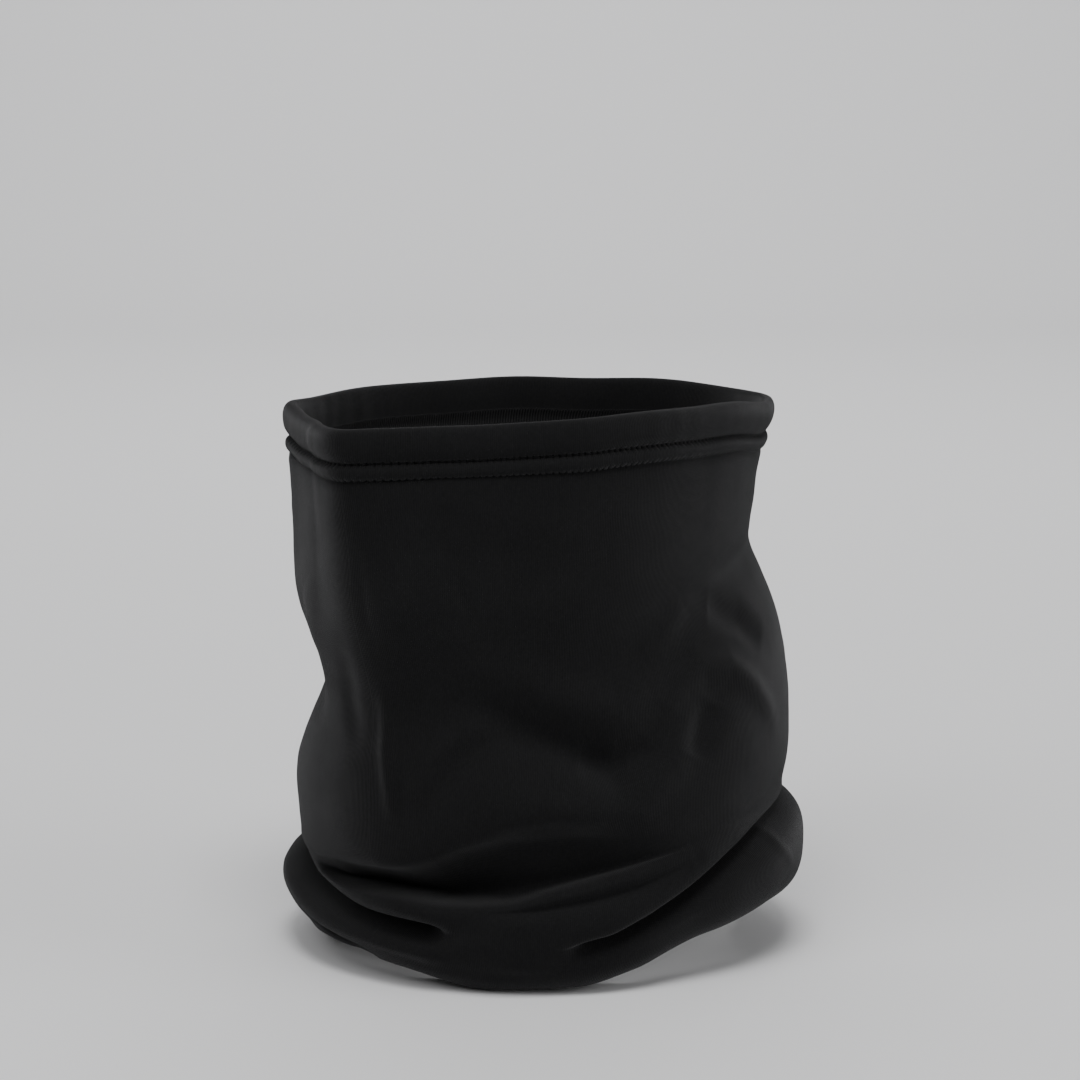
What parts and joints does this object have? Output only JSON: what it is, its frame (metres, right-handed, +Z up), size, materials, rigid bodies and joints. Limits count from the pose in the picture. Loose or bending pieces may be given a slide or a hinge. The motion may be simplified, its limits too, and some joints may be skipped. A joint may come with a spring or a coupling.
{
  "type": "neck gaiter",
  "caption": "Short fleece-backed stretch-knit tube with turned hems, worn from the nose down to the neck, its lower end bunched and tucked under.",
  "frame": {"origin": "middle of the passage for the head, about level with the top edge", "axes": "+Z up out of the top edge, the wearer faces -Y, +X is the wearer's left"},
  "size_m": [0.1862, 0.2064, 0.2037],
  "materials": {
    "black_knit": "matte brushed knit",
    "black_thread": "spun polyester thread",
    "grey_label_tape": "satin woven tape"
  },
  "bodies": {
    "root": {"body_panel": "black_knit", "top_hem": "black_knit", "top_hem_needle_thread_upper": "black_thread", "top_hem_needle_thread_lower": "black_thread", "top_hem_looper_thread": "black_thread", "bottom_hem": "black_knit", "bottom_hem_needle_thread_upper": "black_thread", "bottom_hem_needle_thread_lower": "black_thread", "bottom_hem_looper_thread": "black_thread", "back_seam_allowance": "black_knit", "back_seam_needle_thread": "black_thread", "back_seam_looper_thread": "black_thread", "care_label": "grey_label_tape", "care_label_stitching": "black_thread"}
  },
  "joints": []
}
